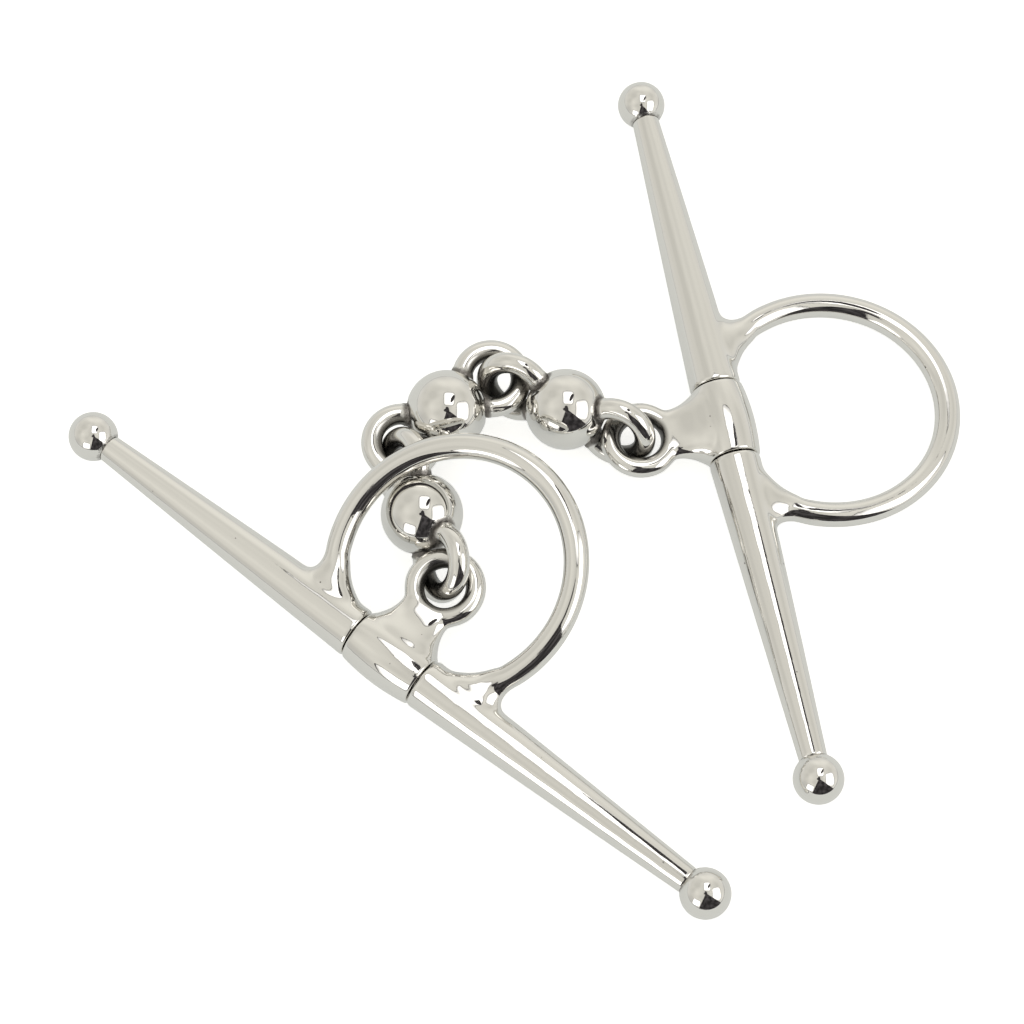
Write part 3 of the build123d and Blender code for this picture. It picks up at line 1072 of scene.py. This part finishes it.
begin()
bpy.ops.mesh.primitive_plane_add(size=6, location=(0, 0, -0.00005))
floor = bpy.context.object
floor.name = "floor"
paper = plain("paper", PAPER_WHITE, PAPER_GLOW, PAPER_REFLECTS)
tree = paper.node_tree
in_mirror = tree.nodes.new("ShaderNodeBsdfPrincipled")
matte(in_mirror, MIRRORED_BASE, MIRRORED_TINT, MIRRORED_GLOW)
camera_sees(
    tree, tree.nodes["Principled BSDF"], in_mirror, tree.nodes["Material Output"].inputs["Surface"]
)
floor.data.materials.append(paper)


# %% The panels
PANEL_GLOW = 2.1
PANEL_EDGE_SHARE = 0.35   # of the glow that is left at a panel's edge
PANEL_CORNER_SHARE = 0.3  # of the shorter side that a corner takes
PANEL_RIM = 0.009


def reflected_only(thing):
    """Keeps a studio thing out of the camera's view and out of the floor's light."""
    thing.visible_camera = False
    thing.visible_diffuse = False
    thing.visible_shadow = False
    return thing


def soft_edged(name, colour, strength, width):
    """A glow that fades towards the edges of a card that is 1 x 1 in its own coordinates."""
    material = plain(name, colour, strength)
    tree = material.node_tree
    split = tree.nodes.new("ShaderNodeSeparateXYZ")
    tree.links.new(tree.nodes.new("ShaderNodeTexCoord").outputs["UV"], split.inputs["Vector"])
    inside = None
    for axis in ("X", "Y"):
        off_centre = math_node(tree, "SUBTRACT", split.outputs[axis], 0.5)
        to_edge = math_node(tree, "SUBTRACT", 0.5, math_node(tree, "ABSOLUTE", off_centre))
        fade = map_range(tree, to_edge, end=width, low=PANEL_EDGE_SHARE, blend="SMOOTHSTEP")
        inside = fade if inside is None else math_node(tree, "MULTIPLY", inside, fade)
    shader = tree.nodes["Principled BSDF"]
    tree.links.new(
        math_node(tree, "MULTIPLY", inside, strength), shader.inputs["Emission Strength"]
    )
    return material


def panel(name, centre, size, glow, cloth):
    """A round-cornered panel that faces the object, with a thin cloth rim."""
    begin()
    bpy.ops.mesh.primitive_plane_add(size=1, location=centre)
    card = bpy.context.object
    card.name = name
    facing = Vector(centre).normalized()
    level = Vector((1, 0, 0)) - facing * facing.x
    card.scale = (size[0], size[1], 1)
    bpy.ops.object.transform_apply(location=False, rotation=False, scale=True)
    card.rotation_euler = Matrix(
        (level.normalized(), facing.cross(level).normalized(), facing)
    ).transposed().to_euler()
    card.data.materials.append(glow)
    card.data.materials.append(cloth)
    bpy.ops.object.mode_set(mode="EDIT")
    bpy.ops.mesh.select_all(action="SELECT")
    bpy.ops.mesh.bevel(offset=PANEL_CORNER_SHARE * min(size), segments=8, affect="VERTICES")
    bpy.ops.mesh.select_all(action="SELECT")
    bpy.ops.mesh.inset(thickness=PANEL_RIM, depth=0)
    bpy.ops.object.mode_set(mode="OBJECT")
    largest = max(card.data.polygons, key=lambda face: face.area)
    for face in card.data.polygons:
        face.material_index = 0 if face.index == largest.index else 1
    return reflected_only(card)


black = plain("black cloth", (0.012, 0.010, 0.009), 1.0)
glow = soft_edged("panel glow", (1.0, 0.99, 0.97), PANEL_GLOW, width=0.22)
for name, centre, size in (
    ("overhead_panel", (0.10, 0.14, 0.80), (0.44, 0.60)),
    ("right_panel", (0.56, -0.22, 0.46), (0.56, 0.74)),
    ("left_panel", (-0.30, -0.46, 0.17), (0.34, 0.30)),
):
    panel(name, centre, size, glow, black)

# %% The dark shapes of the camera and the person behind it
CAMERA_TILT = math.radians(22.5)
CAMERA_DISTANCE = 0.595
toward_camera = Vector((0, -math.sin(CAMERA_TILT), math.cos(CAMERA_TILT)))
dark = plain("dark clothes", (0.105, 0.098, 0.102), 1.0)
tree = dark.node_tree
weave = tree.nodes.new("ShaderNodeTexNoise")
weave.inputs["Scale"].default_value = 9.0
weave.inputs["Detail"].default_value = 3.0
tree.links.new(tree.nodes.new("ShaderNodeTexCoord").outputs["Object"], weave.inputs["Vector"])
tree.links.new(
    map_range(tree, weave.outputs["Fac"], 0.42, 0.72, low=0.25),
    tree.nodes["Principled BSDF"].inputs["Emission Strength"],
)
for name, across, up, back, lean, half_size in (
    ("lens_and_hands", 0.0, 0.0, 0.63, 0, (0.085, 0.05, 0.03)),
    ("operator_head", 0.02, 0.04, 0.66, 10, (0.055, 0.075, 0.05)),
    ("lamp_arm", 0.20, 0.40, 0.56, -25, (0.05, 0.19, 0.02)),
):
    begin()
    bpy.ops.mesh.primitive_uv_sphere_add(segments=48, ring_count=24, radius=1)
    shape = bpy.context.object
    shape.name = name
    shape.scale = half_size
    turn = Matrix.Rotation(CAMERA_TILT, 3, "X")
    shape.rotation_euler = (turn @ Matrix.Rotation(math.radians(lean), 3, "Z")).to_euler()
    shape.location = turn @ Vector((across, up, back))
    shape.data.materials.append(dark)
    reflected_only(shape)

begin()
bpy.ops.mesh.primitive_circle_add(vertices=3, radius=1, fill_type="NGON")
coat = bpy.context.object
coat.name = "operator_coat"
for corner, place_at in zip(coat.data.vertices, (
    (0.015, -0.235, 0.62), (-0.18, -0.58, 0.0), (0.50, -0.37, 0.0),
)):
    corner.co = place_at
coat.data.materials.append(dark)
reflected_only(coat)

# %% The tent
WALL_COLOURS = (          # by height: 0 at the table and 1 straight overhead
    (0.0, (0.76, 0.765, 0.74, 1)), (0.12, (0.77, 0.76, 0.72, 1)),
    (0.45, (0.85, 0.835, 0.775, 1)), (1.0, (0.86, 0.845, 0.785, 1)),
)
GAP_BLACK = (0.035, 0.030, 0.028, 1)
GAP_STOPS = ((0.004, 0), (0.010, 1), (0.024, 1), (0.034, 0))     # height, strength

world = bpy.data.worlds.new("tent")
bpy.context.scene.world = world
world.use_nodes = True
tree = world.node_tree
tree.nodes.clear()
sky_out = tree.nodes.new("ShaderNodeOutputWorld")
direction = tree.nodes.new("ShaderNodeTexCoord").outputs["Generated"]
split = tree.nodes.new("ShaderNodeSeparateXYZ")
tree.links.new(direction, split.inputs["Vector"])
walls = tree.nodes.new("ShaderNodeValToRGB")
walls.color_ramp.elements[0].color = WALL_COLOURS[0][1]
walls.color_ramp.elements[1].color = WALL_COLOURS[-1][1]
for height, colour in WALL_COLOURS[1:-1]:
    walls.color_ramp.elements.new(height).color = colour
tree.links.new(split.outputs["Z"], walls.inputs["Fac"])
folds = tree.nodes.new("ShaderNodeTexNoise")
folds.inputs["Scale"].default_value = 1.3
folds.inputs["Detail"].default_value = 1.0
tree.links.new(direction, folds.inputs["Vector"])
seen = tree.nodes.new("ShaderNodeVectorMath")
seen.operation = "SCALE"
tree.links.new(walls.outputs["Color"], seen.inputs[0])
tree.links.new(
    map_range(tree, folds.outputs["Fac"], 0.3, 0.7, low=0.80, high=1.12), seen.inputs["Scale"]
)
gap = tree.nodes.new("ShaderNodeValToRGB")
gap.color_ramp.elements[0].color = gap.color_ramp.elements[1].color = (0, 0, 0, 1)
for height, level in GAP_STOPS:
    gap.color_ramp.elements.new(height).color = (level, level, level, 1)
tree.links.new(split.outputs["Z"], gap.inputs["Fac"])
nearer = math_node(
    tree, "MULTIPLY_ADD", split.outputs["Y"], -0.9,
    math_node(tree, "MULTIPLY", split.outputs["X"], 0.45),
)
front = map_range(tree, nearer, -0.3, 0.3, low=0.35)
room = mix_colour(
    tree, math_node(tree, "MULTIPLY", gap.outputs["Color"], front),
    seen.outputs["Vector"], GAP_BLACK,
)
tent_light = tree.nodes.new("ShaderNodeBackground")
tree.links.new(room, tent_light.inputs["Color"])
plain_light = tree.nodes.new("ShaderNodeBackground")
plain_light.inputs["Color"].default_value = (1, 1, 1, 1)
camera_sees(tree, plain_light, tent_light, sky_out.inputs["Surface"])

# %% The camera
lens = bpy.data.cameras.new("camera")
lens.lens = 100
lens.sensor_width = 36
lens.clip_start = 0.01
camera = bpy.data.objects.new("camera", lens)
bpy.context.scene.collection.objects.link(camera)
looked_at = Vector((-0.00107, -0.00579, 0))
camera.location = looked_at + toward_camera * CAMERA_DISTANCE
camera.rotation_euler = (CAMERA_TILT, 0, 0)
bpy.context.scene.camera = camera
bpy.context.scene.view_settings.view_transform = "Standard"
bpy.context.scene.view_settings.look = "None"
